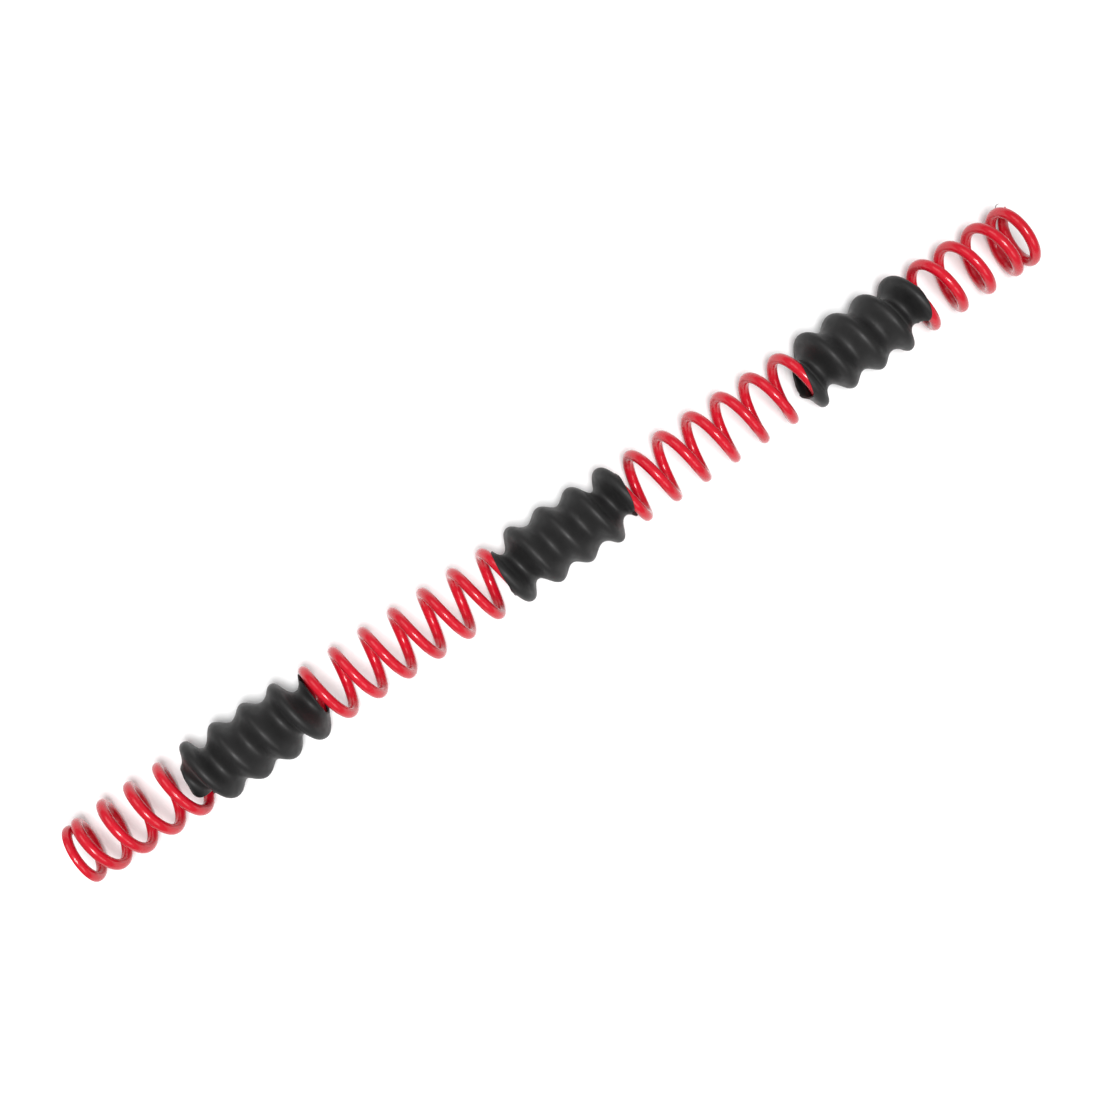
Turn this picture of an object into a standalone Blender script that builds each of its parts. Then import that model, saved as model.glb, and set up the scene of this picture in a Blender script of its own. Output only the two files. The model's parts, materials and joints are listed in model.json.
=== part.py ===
"""Long coil spring with three rubber sleeves shrunk over its coils.

Metres, +Z up. The spring lies along X on its sleeves, with its fixed end towards -X and the end
that moves in when it is compressed towards +X. The origin is on the ground under its middle.

Turns are counted along the wire from 0 at the -X tip to TURNS at the +X tip. Turn 0 is on the +Y
side of the coil, and the wire climbs over the top (+Z) first, which makes a right-hand helix.
"""
import math

import bmesh
import bpy
from mathutils import Vector

# Wire and coil
WIRE_RADIUS = 0.0022
COIL_RADIUS = 0.0122  # spring axis to the middle of the wire
TURNS = 34
PITCH = 0.0144  # at the middle of the spring
END_PITCH_SHARE = 0.917  # pitch of the last open turns, as a share of PITCH
# For the -X end and the +X end: the closed coil's pitch, as a share of the last open turns', the
# turns in from the tip between which the pitch opens out, and the pitches that the turns after
# the closed coil fall short
CLOSED_PITCH = (0.0, 0.32)
OPENING = ((0.30, 1.03), (0.60, 1.62))
SHORTFALL = (0.14, 0.0)
SHORTFALL_TURNS = 2.0
END_TAPER = 0.0015  # how much the -X tip winds in
TAPER_TURNS = 2.0
TIP_TUCK = 0.0014  # how much the +X tip is drawn in beside the turn before it
TUCK_TURNS = 0.45
GRIND_DEPTH = 0.0015  # ground off the outer side of each tip
END_COIL_TURNS = 1.0  # the dead turn at each end

# Sleeves: the turns that each one covers
SLEEVES = (
    ("lower_sleeve", 4.62, 8.90),
    ("middle_sleeve", 15.05, 19.33),
    ("upper_sleeve", 25.10, 29.38),
)
CREST_RADIUS = 0.01525  # over the wire
VALLEY_RADIUS = 0.0114  # between two turns
SLEEVE_WALL = 0.0010
NECK_DEPTH = 0.0042  # how much deeper the free ends shrink between the turns
NECK_TURNS = 0.45  # the full depth lasts this far in from each rim
NECK_FADE = 1.0  # turns over which the neck fades into the ordinary valleys
NECK_HUG = 0.5  # how far the necks draw in close round the wire
HUG_TURNS = 0.23  # half the width of a ridge that hugs the wire
HUG_POWER = 6  # the higher, the steeper that ridge's flanks

# Fit and fineness
PART_GAP = 0.0003  # between pieces that touch
SLEEVE_CLEARANCE = 0.00035  # sleeve bore to wire
STATIONS = 16  # points around the spring's axis
WIRE_SIDES = 8
ROWS_PER_TURN = 10  # sleeve rows along the axis
SLOPE_TURNS = 1 / 64  # turns behind and ahead that give the wire's direction
SHARP_ANGLE = math.radians(50)

RED_COAT = ("red_powder_coat", (0.62, 0.012, 0.03), 0.3, 0.0)
BLACK_RUBBER = ("black_rubber", (0.02, 0.02, 0.021), 0.55, 0.0)


def smooth_step(value):
    value = min(max(value, 0), 1)
    return value**2 * (3 - 2 * value)


def rise(turns_in, end):
    """Pitches climbed this many turns in from an end: slow on the closed coil, then opening."""
    first, last = OPENING[end]
    share = min(max((turns_in - first) / (last - first), 0), 1)
    opened = (last - first) * (share**3 - share**4 / 2) + max(turns_in - last, 0)
    short = SHORTFALL[end] * smooth_step((turns_in - END_COIL_TURNS) / SHORTFALL_TURNS)
    return CLOSED_PITCH[end] * turns_in + (1 - CLOSED_PITCH[end]) * opened - short


def from_middle(turn):
    """Distance of the wire's middle along the axis from the middle turn."""
    half = TURNS / 2
    side, end = (-1, 0) if turn < half else (1, 1)
    pitches = rise(half, end) - rise(half - abs(turn - half), end)
    tightening = (1 - END_PITCH_SHARE) / (3 * half**2)
    return side * PITCH * (pitches - tightening * pitches**3)


def coil_x(turn):
    """Place of the wire's middle along the axis, with 0 halfway between the tips."""
    return from_middle(turn) - (from_middle(0) + from_middle(TURNS)) / 2


GROUND_X = coil_x(TURNS) + WIRE_RADIUS - GRIND_DEPTH  # the two ground faces lie at +-GROUND_X


def around(turn, radius, x=0.0):
    """Point at a radius from the axis, as far round as the wire is at this turn."""
    angle = math.tau * turn
    return Vector((x, radius * math.cos(angle), radius * math.sin(angle)))


def coil_radius(turn):
    """Spring axis to the middle of the wire."""
    taper = END_TAPER * (1 - smooth_step(turn / TAPER_TURNS))
    return COIL_RADIUS - taper - TIP_TUCK * smooth_step((turn - TURNS) / TUCK_TURNS + 1)


def sleeve_outer_radius(turn, angle, span):
    """Radius of a sleeve's outside: ridges over the wire, valleys between, necks at the rims."""
    off = abs((turn - angle + 0.5) % 1 - 0.5)
    wave = (1 + math.cos(math.tau * off)) / 2
    hug = 1 / (1 + (off / HUG_TURNS) ** HUG_POWER)
    from_rim = min(turn - span[0], span[1] - turn)
    neck = 1 - smooth_step((from_rim - NECK_TURNS) / NECK_FADE)
    ridge = wave + (hug - wave) * neck * NECK_HUG
    valley = VALLEY_RADIUS - NECK_DEPTH * neck
    return valley + (CREST_RADIUS - valley) * ridge


def sleeve_inner_radius(turn, angle, span):
    """One wall inside the outer radius, but never closer to the wire than the clearance."""
    bore = sleeve_outer_radius(turn, angle, span) - SLEEVE_WALL
    off_wire = abs((turn - angle + 0.5) % 1 - 0.5) * PITCH
    reach = WIRE_RADIUS + SLEEVE_CLEARANCE
    if off_wire >= reach:
        return bore
    return max(bore, COIL_RADIUS + math.sqrt(reach**2 - off_wire**2))


def station_angle(index):
    """Angle, in turns, of one station round the axis: a flat lies downwards, not an edge."""
    return (index + 0.5) / STATIONS


# The sleeves' lowest flats rest on the ground
AXIS_HEIGHT = CREST_RADIUS * math.cos(math.pi / STATIONS)


def wire_ring(bm, turn, origin_x):
    """One ring of the wire's surface, square to the wire and ground flat at the spring's ends."""
    before, after = turn - SLOPE_TURNS, turn + SLOPE_TURNS
    behind = around(before, coil_radius(before), coil_x(max(before, 0)))
    ahead = around(after, coil_radius(after), coil_x(min(after, TURNS)))
    outward = around(turn, 1)
    sideways = (ahead - behind).normalized().cross(outward)
    centre = around(turn, coil_radius(turn), coil_x(turn))
    ring = []
    for side in range(WIRE_SIDES):
        angle = math.tau * side / WIRE_SIDES
        spoke = outward * math.cos(angle) + sideways * math.sin(angle)
        point = centre + spoke.normalized() * WIRE_RADIUS
        point.x = min(max(point.x, -GROUND_X), GROUND_X) - origin_x
        ring.append(bm.verts.new(point))
    return ring


def bridge(bm, first, second):
    """Quads between two rings with the same number of points."""
    count = len(first)
    for i in range(count):
        j = (i + 1) % count
        bm.faces.new((first[i], first[j], second[j], second[i]))


def finish_object(name, bm, location, parent, look):
    """Make the named object from the mesh, with faces pointing out and smooth shading."""
    bmesh.ops.recalc_face_normals(bm, faces=bm.faces)
    mesh = bpy.data.meshes.new(name)
    bm.to_mesh(mesh)
    bm.free()
    mesh.shade_smooth()
    mesh.set_sharp_from_angle(angle=SHARP_ANGLE)
    mesh.materials.append(look)
    part = bpy.data.objects.new(name, mesh)
    part.location = location
    part.parent = parent
    bpy.context.collection.objects.link(part)
    return part


def wire_piece(name, first, last, origin_x, axis, look):
    """A length of the wire between two turns, with a flat cap at each end."""
    bm = bmesh.new()
    turns = [first]
    index = math.ceil(first * STATIONS)
    while station_angle(index) < last:
        if station_angle(index) > first:
            turns.append(station_angle(index))
        index += 1
    turns.append(last)
    rings = [wire_ring(bm, turn, origin_x) for turn in turns]
    for one, following in zip(rings, rings[1:]):
        bridge(bm, one, following)
    bm.faces.new(rings[0])
    bm.faces.new(rings[-1])
    return finish_object(name, bm, (origin_x, 0, 0), axis, look)


def sleeve_ring(bm, radius_rule, turn, span, origin_x):
    """One ring of a sleeve's inside or outside."""
    ring = []
    for index in range(STATIONS):
        angle = station_angle(index)
        radius = radius_rule(turn, angle, span)
        ring.append(bm.verts.new(around(angle, radius, coil_x(turn) - origin_x)))
    return ring


def sleeve_piece(name, span, axis, look):
    """A corrugated rubber tube, open at both ends, that follows the wire under it."""
    bm = bmesh.new()
    first, last = span
    origin_x = coil_x((first + last) / 2)
    rows = round((last - first) * ROWS_PER_TURN)
    turns = [first + (last - first) * row / rows for row in range(rows + 1)]
    skins = []
    for rule in (sleeve_outer_radius, sleeve_inner_radius):
        rings = [sleeve_ring(bm, rule, turn, span, origin_x) for turn in turns]
        for one, following in zip(rings, rings[1:]):
            bridge(bm, one, following)
        skins.append(rings)
    outer, inner = skins
    bridge(bm, outer[0], inner[0])
    bridge(bm, outer[-1], inner[-1])
    return finish_object(name, bm, (origin_x, 0, 0), axis, look)


def make_look(name, colour, roughness, metallic):
    look = bpy.data.materials.new(name)
    look.use_nodes = True
    shader = look.node_tree.nodes["Principled BSDF"]
    shader.inputs["Base Color"].default_value = (*colour, 1)
    shader.inputs["Roughness"].default_value = roughness
    shader.inputs["Metallic"].default_value = metallic
    return look


def make_axis():
    """The empty that carries every piece: the spring's axis, which every slide runs along."""
    axis = bpy.data.objects.new("spring_axis", None)
    axis.location = (0, 0, AXIS_HEIGHT)
    bpy.context.collection.objects.link(axis)
    return axis


def build():
    for old in list(bpy.data.objects):
        bpy.data.objects.remove(old, do_unlink=True)
    axis = make_axis()
    red = make_look(*RED_COAT)
    black = make_look(*BLACK_RUBBER)
    gap_turns = PART_GAP / (math.tau * COIL_RADIUS)
    lower_cut = END_COIL_TURNS
    upper_cut = TURNS - END_COIL_TURNS
    wire_piece("lower_end_coil", 0, lower_cut, -GROUND_X, axis, red)
    wire_piece("coil_spring", lower_cut + gap_turns, upper_cut - gap_turns, 0, axis, red)
    wire_piece("upper_end_coil", upper_cut, TURNS, GROUND_X, axis, red)
    for name, first, last in SLEEVES:
        sleeve_piece(name, (first, last), axis, black)


build()
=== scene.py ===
import json
import math

import bpy
import numpy as np
from mathutils import Matrix, Vector


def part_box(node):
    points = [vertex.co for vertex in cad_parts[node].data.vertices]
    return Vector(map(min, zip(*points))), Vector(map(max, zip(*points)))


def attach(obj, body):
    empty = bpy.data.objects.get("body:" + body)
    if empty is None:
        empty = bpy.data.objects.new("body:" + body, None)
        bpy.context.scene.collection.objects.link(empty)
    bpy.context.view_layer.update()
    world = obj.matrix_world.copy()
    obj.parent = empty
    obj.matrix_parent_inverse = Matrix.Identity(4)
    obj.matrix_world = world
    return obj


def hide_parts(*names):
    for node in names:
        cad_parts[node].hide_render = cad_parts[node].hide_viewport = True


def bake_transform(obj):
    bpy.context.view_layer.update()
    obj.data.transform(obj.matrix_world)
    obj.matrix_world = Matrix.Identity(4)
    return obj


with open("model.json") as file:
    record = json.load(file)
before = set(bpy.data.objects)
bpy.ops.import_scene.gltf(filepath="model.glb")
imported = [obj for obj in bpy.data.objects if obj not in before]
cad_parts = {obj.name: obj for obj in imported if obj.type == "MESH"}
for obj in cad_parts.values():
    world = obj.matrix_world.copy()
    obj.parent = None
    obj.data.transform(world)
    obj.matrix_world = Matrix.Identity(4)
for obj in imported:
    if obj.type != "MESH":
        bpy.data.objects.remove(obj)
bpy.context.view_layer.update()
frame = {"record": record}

# Driving sizes, as in the CAD but for TIP_TUCK. Pairs are for the -X end and the +X end.
WIRE_RADIUS = 0.0022
COIL_RADIUS = 0.0122
TURNS = 34
PITCH = 0.0144
END_PITCH_SHARE = 0.917
CLOSED_PITCH = (0.0, 0.32)
OPENING = ((0.30, 1.03), (0.60, 1.62))
SHORTFALL = (0.14, 0.0)
SHORTFALL_TURNS = 2.0
END_COIL_TURNS = 1.0
END_TAPER = 0.0015
TAPER_TURNS = 2.0
TIP_TUCK = 0.0018  # how far the +X tip is drawn in behind the turn before it; 0.0014 in the CAD
TUCK_TURNS = 0.45
SLEEVES = {  # the turns that each one covers
    "lower_sleeve": (4.62, 8.90),
    "middle_sleeve": (15.05, 19.33),
    "upper_sleeve": (25.10, 29.38),
}
CREST_RADIUS = 0.01525
VALLEY_RADIUS = 0.0114
SLEEVE_WALL = 0.0010
NECK_DEPTH = 0.0042
NECK_TURNS = 0.45
NECK_FADE = 1.0
NECK_HUG = 0.5
HUG_TURNS = 0.23
HUG_POWER = 6

# Places read from the frame
coil_low, coil_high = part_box("coil_spring")
AXIS_Z = (coil_low.z + coil_high.z) / 2
GROUND_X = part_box("upper_end_coil")[1].x

# Fineness
WIRE_STATIONS = 64  # rings per turn
SLOPE_TURNS = 1 / 256  # turns behind and ahead that give the wire's direction
SLEEVE_STATIONS = 112
SLEEVE_ROWS = 30  # per turn


def smooth_step(value):
    value = np.clip(value, 0, 1)
    return value**2 * (3 - 2 * value)


def rise(turns_in, end):
    """Pitches climbed this many turns in from an end of the wire."""
    first, last = OPENING[end]
    share = np.clip((turns_in - first) / (last - first), 0, 1)
    opened = (last - first) * (share**3 - share**4 / 2) + np.maximum(turns_in - last, 0)
    short = SHORTFALL[end] * smooth_step((turns_in - END_COIL_TURNS) / SHORTFALL_TURNS)
    return CLOSED_PITCH[end] * turns_in + (1 - CLOSED_PITCH[end]) * opened - short


def from_middle(turn):
    """Distance of the wire's middle along the axis from the middle turn."""
    half = TURNS / 2
    lower = rise(half, 0) - rise(np.minimum(turn, half), 0)
    upper = rise(half, 1) - rise(np.minimum(TURNS - turn, half), 1)
    tightening = (1 - END_PITCH_SHARE) / (3 * half**2)
    return PITCH * (upper - lower - tightening * (upper**3 - lower**3))


CENTRING = (from_middle(0) + from_middle(TURNS)) / 2


def coil_x(turn):
    """Place of the wire's middle along the axis at this turn."""
    return from_middle(turn) - CENTRING


def coil_radius(turn):
    """Spring axis to the middle of the wire; both tips wind in, the +X one only at its end."""
    taper = END_TAPER * (1 - smooth_step(turn / TAPER_TURNS))
    return COIL_RADIUS - taper - TIP_TUCK * smooth_step((turn - TURNS) / TUCK_TURNS + 1)


def travel_share(turn):
    """Share of the moving end's travel that the wire has at this turn: each active turn gives
    way by the same amount, and the dead end turns don't."""
    active = TURNS - 2 * END_COIL_TURNS

    def given(turns_in):
        start = np.clip(turns_in, 0, 1)
        return start**3 - start**4 / 2 + np.maximum(turns_in - 1, 0)

    whole = 2 * given(active / 2)
    near = given(np.minimum(turn, TURNS - turn) - END_COIL_TURNS) / whole
    return np.where(turn < TURNS / 2, near, 1 - near)


def around(turn, radius, x):
    """Points at a radius from the spring's axis, as far round as the wire is at this turn."""
    angle = math.tau * turn
    return np.stack(np.broadcast_arrays(x, radius * np.cos(angle), AXIS_Z + radius * np.sin(angle)), -1)


def make_object(name, points, faces, looks, sharp_degrees=40):
    mesh = bpy.data.meshes.new(name)
    mesh.from_pydata(np.asarray(points).reshape(-1, 3).tolist(), [], faces)
    mesh.validate()
    for look in looks:
        mesh.materials.append(look)
    mesh.shade_smooth()
    mesh.set_sharp_from_angle(angle=math.radians(sharp_degrees))
    piece = bpy.data.objects.new(name, mesh)
    bpy.context.collection.objects.link(piece)
    return piece


def grid_faces(rows, columns, wrap_rows=False):
    """Quads over a grid of points whose columns close into rings."""
    faces = []
    for i in range(rows if wrap_rows else rows - 1):
        following = (i + 1) % rows
        for j in range(columns):
            beside = (j + 1) % columns
            near, far = i * columns, following * columns
            faces.append((near + j, near + beside, far + beside, far + j))
    return faces


def end_caps(rows, columns):
    """The two faces that close a tube of rings."""
    return [tuple(range(columns))[::-1], tuple(range((rows - 1) * columns, rows * columns))]


def follow_travel(piece, weights):
    """Bakes the piece's placement into its mesh. The weights, each point's share of the travel, are not
    used."""
    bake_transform(piece)


# ---- Materials ----------------------------------------------------------------------------


class Look:
    """A material with a Principled shader, and short ways to add the nodes that drive it."""

    def __init__(self, name, roughness, **sockets):
        self.material = bpy.data.materials.new(name)
        self.material.use_nodes = True
        self.tree = self.material.node_tree
        self.shader = self.tree.nodes["Principled BSDF"]
        self.shader.inputs["Roughness"].default_value = roughness
        for socket, value in sockets.items():
            self.shader.inputs[socket.replace("_", " ")].default_value = value
        self.place = self.tree.nodes.new("ShaderNodeTexCoord").outputs["Object"]

    def link(self, source, target):
        self.tree.links.new(source, target)

    def noise(self, scale, detail=2.0, roughness=0.5):
        """Soft cloudy noise from 0 to 1; scale is features per metre."""
        node = self.tree.nodes.new("ShaderNodeTexNoise")
        node.inputs["Scale"].default_value = scale
        node.inputs["Detail"].default_value = detail
        node.inputs["Roughness"].default_value = roughness
        self.link(self.place, node.inputs["Vector"])
        return node.outputs["Fac"]

    def remap(self, source, low, high, to_low, to_high):
        node = self.tree.nodes.new("ShaderNodeMapRange")
        node.inputs["From Min"].default_value = low
        node.inputs["From Max"].default_value = high
        node.inputs["To Min"].default_value = to_low
        node.inputs["To Max"].default_value = to_high
        self.link(source, node.inputs["Value"])
        return node.outputs["Result"]

    def mix(self, factor, first, second):
        """Colour between two others; each is a colour or a node's output."""
        node = self.tree.nodes.new("ShaderNodeMix")
        node.data_type = "RGBA"
        self.link(factor, node.inputs["Factor"])
        for socket, colour in ((node.inputs[6], first), (node.inputs[7], second)):
            if isinstance(colour, tuple):
                socket.default_value = (*colour, 1)
            else:
                self.link(colour, socket)
        return node.outputs[2]

    def bump(self, *layers):
        """Bump nodes in a row, each from (height, strength, distance)."""
        normal = None
        for height, strength, distance in layers:
            node = self.tree.nodes.new("ShaderNodeBump")
            node.inputs["Strength"].default_value = strength
            node.inputs["Distance"].default_value = distance
            self.link(height, node.inputs["Height"])
            if normal is not None:
                self.link(normal, node.inputs["Normal"])
            normal = node.outputs["Normal"]
        self.link(normal, self.shader.inputs["Normal"])

    def colour(self, source):
        self.link(source, self.shader.inputs["Base Color"])

    def roughness(self, source):
        self.link(source, self.shader.inputs["Roughness"])


def red_powder_coat():
    """Glossy red coat: a fine orange peel, slightly uneven in tone, with a few dull rubs."""
    look = Look("red_powder_coat", 0.2, Specular_IOR_Level=0.35, Coat_Weight=0.2, Coat_Roughness=0.06)
    tone = look.mix(look.noise(60, 3), (0.44, 0.003, 0.012), (0.58, 0.006, 0.022))
    rubs = look.remap(look.noise(420, 4, 0.6), 0.66, 0.76, 0, 0.5)
    look.colour(look.mix(rubs, tone, (0.36, 0.010, 0.018)))
    look.roughness(look.remap(look.noise(300, 3), 0.3, 0.7, 0.16, 0.30))
    look.bump((look.noise(1400, 2), 0.22, 0.00006), (look.noise(260, 2), 0.12, 0.0001))
    return look.material


def ground_steel():
    """The ground end faces: thin red coat worn through to the steel along the grinding marks."""
    look = Look("ground_steel", 0.4)
    worn = look.remap(look.noise(700, 5, 0.7), 0.48, 0.58, 0, 1)
    look.colour(look.mix(worn, (0.42, 0.006, 0.016), (0.46, 0.44, 0.42)))
    look.link(look.remap(worn, 0, 1, 0, 0.9), look.shader.inputs["Metallic"])
    look.roughness(look.remap(look.noise(1500, 3), 0.3, 0.7, 0.28, 0.5))
    look.bump((look.noise(2600, 4), 0.4, 0.00005))
    return look.material


def black_rubber():
    """Heat-shrunk rubber: near black and matt, faintly mottled, with a fine skin texture."""
    look = Look("black_rubber", 0.5, Specular_IOR_Level=0.3, Sheen_Weight=0.03, Sheen_Roughness=0.4)
    mottle = look.mix(look.noise(110, 4, 0.6), (0.007, 0.007, 0.0072), (0.015, 0.0145, 0.0145))
    dust = look.remap(look.noise(1900, 3, 0.7), 0.68, 0.8, 0, 0.35)
    look.colour(look.mix(dust, mottle, (0.05, 0.049, 0.047)))
    look.roughness(look.remap(look.noise(240, 4), 0.3, 0.7, 0.42, 0.60))
    look.bump((look.noise(2400, 3), 0.30, 0.00006), (look.noise(420, 3), 0.18, 0.00015))
    return look.material


def bare_burr():
    look = Look("bare_burr", 0.5, Metallic=0.3)
    look.colour(look.mix(look.noise(3000, 3), (0.025, 0.02, 0.02), (0.10, 0.08, 0.075)))
    return look.material


def pale_floor():
    look = Look("pale_floor", 0.6)
    look.colour(look.mix(look.noise(3, 3), (0.90, 0.90, 0.90), (0.93, 0.93, 0.93)))
    return look.material


# ---- Wire ---------------------------------------------------------------------------------

FLAT_SIDES = 6  # section sides across each flank that the grinding may cut
ARC_SIDES = 8  # section sides over the rest of each half
EVEN_FLANK = math.radians(38)  # half the angle of a flank where nothing is cut
LEAST_FLANK = math.radians(12)
FLANK_EASE = 0.6  # turns in from a tip at which the flank begins to even out
TIP_ROUNDING = ((0.00022, 0.80), (0.00016, 0.92), (0.00007, 0.98))  # overhang, share of radius
GROUND_TOLERANCE = 1e-7  # a point this near a ground face is on it


def flank_angle(turns_in, depth):
    """Half the angle of the section's flank, so that its corners lie on the ground edge."""
    cut = np.arccos(np.clip(depth / WIRE_RADIUS, 0, 1))
    least = LEAST_FLANK + (EVEN_FLANK - LEAST_FLANK) * smooth_step(turns_in - FLANK_EASE)
    return np.maximum(cut, least)


def section_angles(turn):
    """Angles of the section's points; the low flank faces -X and the high one +X."""
    x = coil_x(turn)
    low = flank_angle(turn, x + GROUND_X)[:, None]
    high = flank_angle(TURNS - turn, GROUND_X - x)[:, None]
    flat = np.linspace(0, 1, FLAT_SIDES, endpoint=False)[None]
    arc = np.linspace(0, 1, ARC_SIDES, endpoint=False)[None]
    quarter = math.pi / 2
    stretches = (
        quarter - low + 2 * low * flat,
        quarter + low + (math.pi - low - high) * arc,
        3 * quarter - high + 2 * high * flat,
        3 * quarter + high + (math.pi - low - high) * arc,
    )
    return np.concatenate(stretches, 1)


def wire_rings(turn, overhang, swell):
    """Rings of the wire's surface. overhang moves a ring along the wire, swell scales it."""
    x = coil_x(turn)
    ahead = coil_x(np.minimum(turn + SLOPE_TURNS, TURNS))
    behind = coil_x(np.maximum(turn - SLOPE_TURNS, 0))
    slope = (ahead - behind) / (2 * SLOPE_TURNS)
    angle = math.tau * turn
    run = math.tau * COIL_RADIUS
    along = np.stack([slope, -run * np.sin(angle), run * np.cos(angle)], -1)
    along /= np.linalg.norm(along, axis=1, keepdims=True)
    outward = np.stack([np.zeros_like(turn), np.cos(angle), np.sin(angle)], -1)
    sideways = np.cross(along, outward)
    centre = around(turn, coil_radius(turn), x) + along * overhang[:, None]
    section = section_angles(turn)[..., None]
    spoke = outward[:, None] * np.cos(section) + sideways[:, None] * np.sin(section)
    points = centre[:, None] + spoke * (WIRE_RADIUS * swell)[:, None, None]
    points[..., 0] = np.clip(points[..., 0], -GROUND_X, GROUND_X)
    return points


def spring_wire(coat, steel):
    """The whole wire as one piece: the dead end turns, the active coils and the ground faces."""
    count = TURNS * WIRE_STATIONS + 1
    tips = len(TIP_ROUNDING)
    overhang = np.zeros(count + 2 * tips)
    swell = np.ones(count + 2 * tips)
    for i, (length, share) in enumerate(TIP_ROUNDING):
        overhang[i], overhang[-1 - i] = -length, length
        swell[i] = swell[-1 - i] = share
    middle = np.linspace(0, TURNS, count)
    turn = np.concatenate([np.zeros(tips), middle, np.full(tips, float(TURNS))])
    points = wire_rings(turn, overhang, swell)
    rows, columns = points.shape[:2]
    faces = grid_faces(rows, columns) + end_caps(rows, columns)
    piece = make_object("spring_wire", points, faces, (coat, steel))
    on_ground = (np.abs(np.abs(points[..., 0]) - GROUND_X) < GROUND_TOLERANCE).ravel()
    for face in piece.data.polygons:
        if all(on_ground[v] for v in face.vertices):
            face.material_index = 1
    weights = np.repeat(travel_share(turn), columns)
    follow_travel(piece, weights)
    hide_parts("lower_end_coil", "coil_spring", "upper_end_coil")
    return piece


# ---- Sleeves ------------------------------------------------------------------------------

LIP_POINTS = 6  # round each rim
RIDGE_SHARE = 0.165  # half the width of the ridge that stays over the wire, in turns
REST_FLAT = 0.00002  # the crests are pressed flat where they lie on the ground
CLEARANCE = 0.0002  # sleeve bore to wire
# The -X rim and the +X rim of each sleeve: the turns that the whole rim draws back, that it draws
# back more beside the wire's way out, and the width of that dip
RIMS = {
    "lower_sleeve": ((0.0, 0.33, 0.12), (0.0, 0.17, 0.11)),
    "middle_sleeve": ((0.12, 0.20, 0.18), (0.0, 0.22, 0.11)),
    "upper_sleeve": ((0.02, 0.38, 0.26), (0.0, 0.32, 0.12)),
}
DIP_PLACE = 0.08  # turns round from the wire's way out to the deepest point
DIP_REACH = 0.8  # turns of the sleeve that bend with the rim
WAVER = ((0.010, 3, 1), (0.006, 7, -1))  # of a rim: turns, waves round it, and phase per turn
UNEVENNESS = 0.00006  # of the rubber between the ridges
UNEVEN_WAVES = ((3, 0.37), (2, -0.83))  # waves round the sleeve, and waves per turn along it

# Small marks in the rubber: sleeve, turn, angle in turns, radius and depth in metres
MARKS = (("middle_sleeve", 17.83, 0.21, 0.0011, 0.00025), ("upper_sleeve", 27.74, 0.22, 0.0009, 0.0002))
MARK_EDGE = 1.6  # how strongly a mark's edge stands up
MARK_FADE = 1.5  # how fast it fades outwards


def bent_turn(name, turn, angle, span):
    """Turn that a sleeve's row lies at, drawn back where the rims dip beside the wire."""
    bent = turn + 0 * angle
    for side, rim, (back, depth, width) in zip((-1, 1), span, RIMS[name]):
        near = 1 - smooth_step(side * (rim - turn) / DIP_REACH)
        past = (side * (angle - rim) + 0.5) % 1 - 0.5
        dip = back + depth * np.exp(-(((past - DIP_PLACE) / width) ** 2))
        waver = sum(size * np.sin(math.tau * (n * angle + phase * rim)) for size, n, phase in WAVER)
        bent = bent - side * near * (dip + waver)
    return bent


def sleeve_surface(turn, angle, span):
    """Radius of a sleeve's outside: ridges over the wire, valleys between, necks at the rims."""
    off = np.abs((turn - angle + 0.5) % 1 - 0.5)
    wave = (1 + np.cos(math.tau * off)) / 2
    hug = 1 / (1 + (off / HUG_TURNS) ** HUG_POWER)
    from_rim = np.minimum(turn - span[0], span[1] - turn)
    neck = 1 - smooth_step((from_rim - NECK_TURNS) / NECK_FADE)
    ridge = wave + (hug - wave) * neck * NECK_HUG
    valley = VALLEY_RADIUS - NECK_DEPTH * neck
    uneven = sum(np.sin(math.tau * (n * angle + rate * turn)) for n, rate in UNEVEN_WAVES)
    return valley + (CREST_RADIUS - valley) * ridge + UNEVENNESS * uneven * (1 - ridge)


def bore_radius(turn, angle, outer):
    """One wall inside the outer radius, but clear of the wire."""
    off_wire = np.abs(coil_x(turn) - coil_x(angle + np.round(turn - angle)))
    reach = WIRE_RADIUS + CLEARANCE
    over_wire = COIL_RADIUS + np.sqrt(np.maximum(reach**2 - off_wire**2, 0))
    return np.where(off_wire < reach, np.maximum(outer - SLEEVE_WALL, over_wire), outer - SLEEVE_WALL)


def sleeve_shell(name, span):
    """Points of the closed shell: out over the outside, round one rim, back inside, round the other."""
    angle = (np.arange(SLEEVE_STATIONS) / SLEEVE_STATIONS)[None]
    rows = round((span[1] - span[0]) * SLEEVE_ROWS)
    turn = (span[0] + (span[1] - span[0]) * np.arange(rows + 1) / rows)[:, None]
    turn = bent_turn(name, turn, angle, span)
    outer = sleeve_surface(turn, angle, span)
    inner = bore_radius(turn, angle, outer)
    x = coil_x(turn)
    turns, radii, places = [turn], [outer], [x]
    for row, direction in ((-1, 1), (0, -1)):
        first, last = (outer, inner) if row == -1 else (inner, outer)
        middle = (first[row] + last[row]) / 2
        half = (first[row] - last[row]) / 2
        bend = (np.arange(1, LIP_POINTS) / LIP_POINTS * math.pi)[:, None]
        turns.append(np.repeat(turn[[row]], LIP_POINTS - 1, 0))
        radii.append(middle + half * np.cos(bend))
        places.append(x[row] + direction * np.abs(half) * np.sin(bend))
        if row == -1:
            turns.append(turn[::-1])
            radii.append(inner[::-1])
            places.append(x[::-1])
    turns, radii, places = (np.concatenate(part) for part in (turns, radii, places))
    return turns, angle + 0 * turns, radii, places, rows + 1


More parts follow.
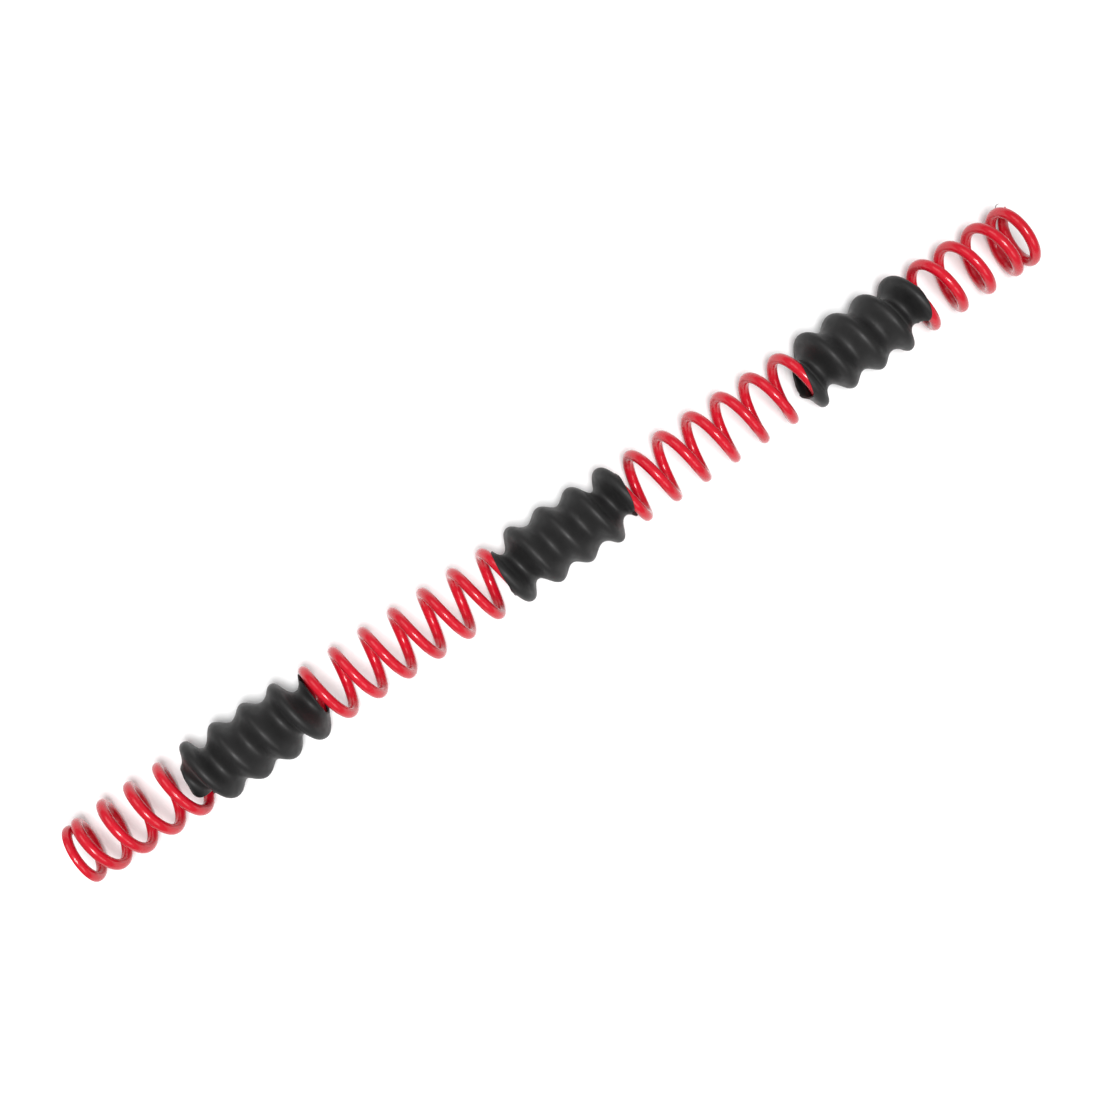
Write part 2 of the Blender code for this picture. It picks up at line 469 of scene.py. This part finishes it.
def add_marks(name, turns, angles, radii, outside):
    """Small dents with a raised edge in the outside of the rubber."""
    for sleeve, turn, angle, size, depth in MARKS:
        if sleeve == name:
            across = (angles[:outside] - angle) * math.tau * CREST_RADIUS
            away = np.hypot((turns[:outside] - turn) * PITCH, across) / size
            radii[:outside] += depth * (away**2 * MARK_EDGE - 1) * np.exp(-(away**2) * MARK_FADE)


def sleeve_weights(turns, angles):
    """Travel share of each point: ridges move with the wire under them, valleys fold between."""
    off = turns - angles
    whole = np.round(off)
    aside = off - whole
    fold = np.sign(aside) * 0.5 * np.maximum(np.abs(aside) - RIDGE_SHARE, 0) / (0.5 - RIDGE_SHARE)
    return travel_share(whole + angles + fold)


def rubber_sleeve(name, span, ratio, rubber):
    turns, angles, radii, places, outside = sleeve_shell(name, span)
    add_marks(name, turns, angles, radii, outside)
    points = around(angles, radii, places)
    points[..., 2] = np.maximum(points[..., 2], REST_FLAT)
    rows, columns = radii.shape
    faces = [face[::-1] for face in grid_faces(rows, columns, wrap_rows=True)]
    piece = make_object(name + "_rubber", points, faces, (rubber,), sharp_degrees=70)
    follow_travel(piece, sleeve_weights(turns, angles) / ratio)
    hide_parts(name)
    return piece


# ---- Burr ---------------------------------------------------------------------------------

BURR_RADIUS = 0.00016
BURR_START = (-0.0036, 0.0135)  # along from the tip's middle, and out from the spring's axis
BURR_END = (-0.0010, 0.0147)
BURR_RISE = 0.0008  # how far its middle bows out
BURR_LIFT = (0.0001, 0.0004)  # its foot above the spring's axis, and what it climbs from there
BURR_TAPER = (1.15, 0.75)  # share of the radius at its foot, and how much less at its point
BURR_STEPS = 25
BURR_SIDES = 8


def tip_burr(look):
    """A curled sliver of bare metal that stands up between the +X tip and the turn before it."""
    share = np.linspace(0, 1, BURR_STEPS)
    x = coil_x(np.float64(TURNS)) + BURR_START[0] + (BURR_END[0] - BURR_START[0]) * share
    y = BURR_START[1] + (BURR_END[1] - BURR_START[1]) * share + BURR_RISE * np.sin(math.pi * share)
    z = AXIS_Z + BURR_LIFT[0] + BURR_LIFT[1] * share
    spine = np.stack([x, y, z], -1)
    taper = BURR_RADIUS * (BURR_TAPER[0] - BURR_TAPER[1] * share**2)
    along = np.gradient(spine, axis=0)
    along /= np.linalg.norm(along, axis=1, keepdims=True)
    up = np.cross(along, np.array([0.0, 0.0, 1.0]))
    up /= np.linalg.norm(up, axis=1, keepdims=True)
    side = np.cross(along, up)
    turn = (np.arange(BURR_SIDES) / BURR_SIDES * math.tau)[None, :, None]
    spokes = up[:, None] * np.cos(turn) + side[:, None] * np.sin(turn)
    points = spine[:, None] + spokes * taper[:, None, None]
    faces = grid_faces(BURR_STEPS, BURR_SIDES) + end_caps(BURR_STEPS, BURR_SIDES)
    piece = make_object("tip_burr", points, faces, (look,))
    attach(piece, "upper_end")
    return piece


# ---- Floor, light and camera --------------------------------------------------------------


FLOOR_REACH = 6.0
WORLD_STRENGTH = 0.34
LIGHTS = (  # name, place, size and power
    ("overhead", (-0.05, -0.12, 1.10), 0.35, 12),
    ("front_side", (0.10, -0.80, 0.80), 0.50, 2.5),
    ("back_side", (-0.25, 0.85, 0.90), 0.70, 3.5),
)


def lay_floor():
    reach = FLOOR_REACH
    corners = [(-reach, -reach, 0), (reach, -reach, 0), (reach, reach, 0), (-reach, reach, 0)]
    floor = make_object("floor", corners, [(0, 1, 2, 3)], (pale_floor(),))


def area_light(name, place, size, power):
    """A square soft light aimed at the middle of the spring."""
    light = bpy.data.lights.new(name, "AREA")
    light.size = size
    light.energy = power
    lamp = bpy.data.objects.new(name, light)
    lamp.location = place
    aim = Vector((0, 0, AXIS_Z)) - Vector(place)
    lamp.rotation_euler = aim.to_track_quat("-Z", "Y").to_euler()
    bpy.context.collection.objects.link(lamp)


def light_studio():
    world = bpy.data.worlds.new("studio")
    bpy.context.scene.world = world
    world.use_nodes = True
    background = world.node_tree.nodes["Background"]
    background.inputs["Color"].default_value = (1, 1, 1, 1)
    background.inputs["Strength"].default_value = WORLD_STRENGTH
    for light in LIGHTS:
        area_light(*light)


CAMERA_HEIGHT = 0.56806  # above the spring's axis
CAMERA_FOOT = (-0.0229, -0.0019)  # the point that the camera stands over
CAMERA_LEAN = 0.0313  # radians towards +X from straight down
CAMERA_ROLL = 0.5852  # radians; +X points this far up from the picture's right
CAMERA_LENS = 45.95  # on a 36 mm sensor


def place_camera():
    data = bpy.data.cameras.new("camera")
    data.lens = CAMERA_LENS
    data.clip_start = 0.01
    camera = bpy.data.objects.new("camera", data)
    bpy.context.collection.objects.link(camera)
    bpy.context.scene.camera = camera
    back = Vector((-math.sin(CAMERA_LEAN), 0, math.cos(CAMERA_LEAN)))
    up = Vector((math.sin(CAMERA_ROLL), math.cos(CAMERA_ROLL), 0))
    right = up.cross(back).normalized()
    up = back.cross(right)
    turned = Matrix((right, up, back)).transposed().to_4x4()
    camera.matrix_world = Matrix.Translation((*CAMERA_FOOT, AXIS_Z + CAMERA_HEIGHT)) @ turned


def build():
    bpy.context.scene.view_settings.view_transform = "Standard"
    spring_wire(red_powder_coat(), ground_steel())
    rubber = black_rubber()
    ratios = {c["joint"]: c["ratio"] for c in frame["record"]["behaviour"]["couplings"]}
    for name, span in SLEEVES.items():
        rubber_sleeve(name, span, ratios[name + "_slide"], rubber)
    tip_burr(bare_burr())
    lay_floor()
    light_studio()
    place_camera()


build()
